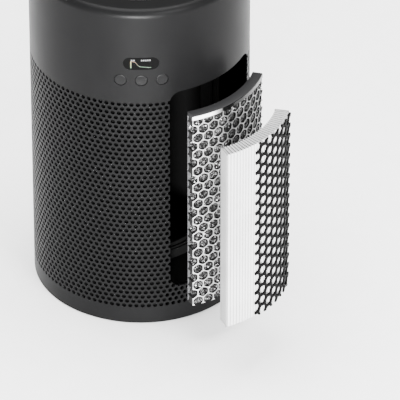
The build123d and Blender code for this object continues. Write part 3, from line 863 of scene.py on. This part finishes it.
def grain_material():
    """Black carbon with painted glints: lighter streaks of noise in the base colour stand in for light caught
    by broken faces.
    """
    material, nodes, links, shader = new_material("carbon_grain")
    painted_glints = object_noise(nodes, links, 420, 2.0, (1, 1, 0.6))
    # painted highlight: the light tone is painted glints, not the carbon's own colour
    dark, light = (0.006, 0.006, 0.006), (0.12, 0.12, 0.12)
    add_tint(nodes, links, shader, painted_glints.outputs["Fac"], dark, light, 0.53, 0.66)
    fine = object_noise(nodes, links, 1600)
    add_bump(nodes, links, shader, fine.outputs["Fac"], 0.3, BUMP_DEPTH)
    shader.inputs["Roughness"].default_value = 0.22
    shader.inputs["Specular IOR Level"].default_value = 0.4
    return material


# painted light and shade along the arc: a painted highlight at the left end, painted shade towards the right
COMB_LIGHT_AND_SHADE_TONES = ((0.0, 0.5), (0.12, 0.3), (0.35, 0.15), (0.6, 0.2), (1.0, 0.08))    # left to right


def comb_light_and_shade_material():
    """Glazed paper with painted light and shade: a painted highlight makes its left end pale, and painted
    shade makes it greyer towards the right.
    """
    material, nodes, links, shader = new_material("comb_paper_painted_light_and_shade")
    stops = [(position, (tone, tone, tone)) for position, tone in COMB_LIGHT_AND_SHADE_TONES]
    ramp_along_arc(nodes, links, shader, stops)
    fine = object_noise(nodes, links, 1200)
    add_bump(nodes, links, shader, fine.outputs["Fac"], 0.2, BUMP_DEPTH)
    shader.inputs["Roughness"].default_value = 0.3
    return material


def band_painted_reflection_material():
    """Polished strip with a painted reflection: its tint runs from silver through black back to grey."""
    material, nodes, links, shader = new_material("cap_band_painted_reflection")
    # painted reflection: silver, black and grey stand in for what the polished band reflects
    silver, black, grey = (0.8, 0.8, 0.8), (0.001, 0.001, 0.001), (0.1, 0.1, 0.1)
    stops = [(0.0, silver), (0.26, silver), (0.36, (0.2, 0.2, 0.2)), (0.43, black), (0.7, black), (1.0, grey)]
    ramp_along_arc(nodes, links, shader, stops)
    shader.inputs["Specular IOR Level"].default_value = 0.15
    shader.inputs["Roughness"].default_value = 0.18
    return material


CAD_MATERIALS = {
    "bezel": dict(name="bezel_plastic", colour=(0.003, 0.003, 0.0031), roughness=0.38,
                  depth=0.1, specular=0.05),
    "grille": dict(name="grille_plastic", colour=(0.006, 0.006, 0.0062), roughness=0.5, specular=0.25),
    "display": dict(name="display_glass", colour=(0.001, 0.001, 0.001), roughness=0.15,
                    depth=0.01, specular=0.04),
    # inner_black, sleeve and seal: black parts set darker still, so their colour is partly their own black
    # and partly painted shade inside the window
    "inner_black": dict(name="inner_plastic_and_painted_shade", colour=(0.0015, 0.0015, 0.0015), roughness=0.8, specular=0.03),
    "sleeve": dict(name="sleeve_mesh_and_painted_shade", colour=(0.0015, 0.0015, 0.0015), roughness=0.9,
                   grain=900, depth=0.6, specular=0.02),
    "seal": dict(name="seal_foam_and_painted_shade", colour=(0.002, 0.002, 0.002), roughness=0.95,
                 grain=1500, depth=0.7, specular=0.03),
    "pad": dict(name="pad_rubber", colour=(0.02, 0.02, 0.02), roughness=0.8, grain=900, depth=0.5),
    "fan_plastic": dict(name="fan_plastic", colour=(0.03, 0.03, 0.032), roughness=0.5),
    "motor_can": dict(name="motor_steel", colour=(0.55, 0.55, 0.56), roughness=0.32,
                      metallic=1.0, stretch=(1, 1, 12)),
    "steel": dict(name="screw_steel", colour=(0.6, 0.6, 0.61), roughness=0.28, metallic=1.0),
    "board": dict(name="board_mask", colour=(0.01, 0.11, 0.045), roughness=0.35, grain=700, depth=0.3),
    "switch": dict(name="switch_plastic", colour=(0.02, 0.02, 0.02), roughness=0.3),
    "inlet": dict(name="inlet_plastic", colour=(0.012, 0.012, 0.012), roughness=0.5),
    "sensor": dict(name="sensor_case", colour=(0.04, 0.04, 0.04), roughness=0.55),
    "lead": dict(name="lead_sleeve", colour=(0.01, 0.01, 0.01), roughness=0.5),
    "scrim": dict(name="scrim_cloth", colour=(0.035, 0.035, 0.037), roughness=0.95, grain=1800, depth=0.8),
}


def dress_cad_nodes(grains):
    """Every CAD node that stays visible gets the material of its slot."""
    made = {"granules": grains}
    for subpart in frame["record"]["subparts"]:
        slot = subpart["material_slot"]
        if slot in CAD_MATERIALS and slot not in made:
            made[slot] = plain_material(**CAD_MATERIALS[slot])
        if slot not in made:
            continue
        node = frame["nodes"][subpart["node"]]
        node.data.materials.clear()
        node.data.materials.append(made[slot])


# ---- the scene ----------------------------------------------------------------------------------
add_camera()
add_stage()
shell = plain_material("shell_plastic", (0.003, 0.003, 0.0031), 0.38, depth=0.1, specular=0.05)
button = plain_material("button_plastic", (0.004, 0.004, 0.0041), 0.38, depth=0.1, specular=0.06)
grains = grain_material()
comb = comb_light_and_shade_material()
cap_top = plain_material("cap_plastic", (0.012, 0.012, 0.0125), 0.5, specular=0.09)
paper = plain_material("filter_paper", (0.4, 0.4, 0.4), 0.9, grain=1400, depth=0.35)
board_paper = plain_material("board_paper", (0.18, 0.18, 0.18), 0.8, grain=1200, depth=0.2)
net_plastic = plain_material("net_plastic", (0.002, 0.002, 0.002), 0.6, specular=0.03)
dress_cad_nodes(grains)
add_shell(shell)
add_display()
for button_side in BUTTON_ANGLES:
    add_button(button_side, button)
# the second material is painted shade for the cells' inner faces and cut ends
add_honeycomb(comb, plain_material("comb_inside_painted_shade", (0.008, 0.008, 0.008), 0.6, specular=0.1))
add_grains(grains)
add_carbon_cap(cap_top, band_painted_reflection_material())
add_pleats(paper)
add_end_boards(board_paper)
add_net(net_plastic)
